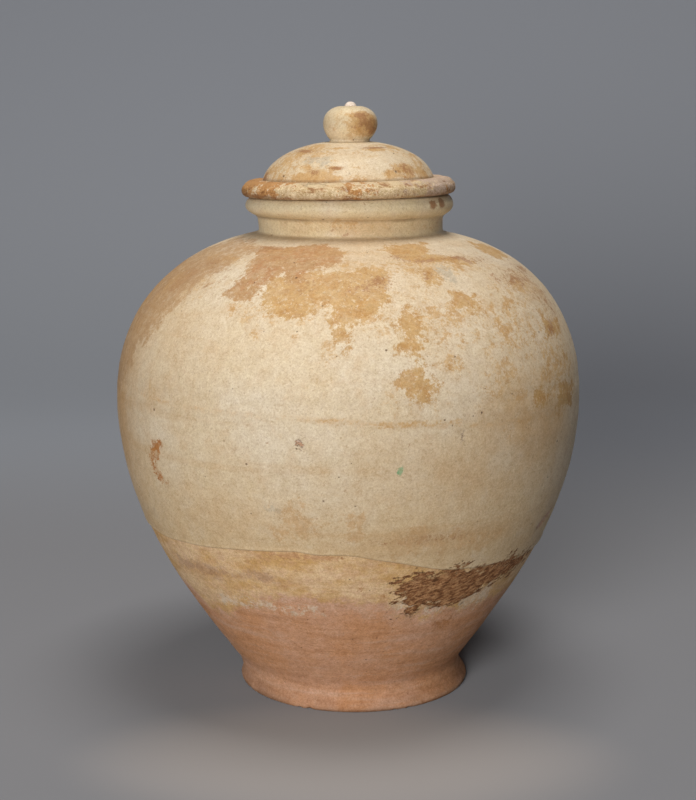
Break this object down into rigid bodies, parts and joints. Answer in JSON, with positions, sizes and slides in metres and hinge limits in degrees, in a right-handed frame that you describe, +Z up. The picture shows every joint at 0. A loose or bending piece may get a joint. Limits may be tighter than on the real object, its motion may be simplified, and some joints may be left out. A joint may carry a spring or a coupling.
{
  "type": "lidded jar",
  "caption": "Tall round-shouldered storage jar on a low splayed foot, with a grooved neck, rolled lip and a domed lift-off lid with a knob.",
  "frame": {"origin": "centre of the standing surface, on the axis of the jar", "axes": "+Z up along the axis of turning, from the foot to the knob; -Y is the side the picture shows; +X is its right"},
  "size_m": [0.284, 0.284, 0.36],
  "materials": {
    "bare_clay": "matt, pinkish buff fired clay with turning lines",
    "slipped_clay": "matt, buff clay under a thin pale slip",
    "straw_glaze": "thin straw-coloured lead glaze, soft gloss, crazed, stained by burial",
    "nib_clay": "matt, pink clay"
  },
  "bodies": {
    "jar": {"foot": "bare_clay", "lower_body": "slipped_clay", "upper_body": "slipped_clay", "neck_collar": "slipped_clay", "jar_glaze": "straw_glaze"},
    "lid": {"lid_cap": "slipped_clay", "lid_locating_ring": "slipped_clay", "lid_knob": "slipped_clay", "knob_nib": "nib_clay", "lid_glaze": "straw_glaze"}
  },
  "joints": [
    {"name": "lid_lift", "type": "slide", "parent": "jar", "child": "lid", "axis": [0, 0, 1], "range_m": [0, 0.16]}
  ]
}
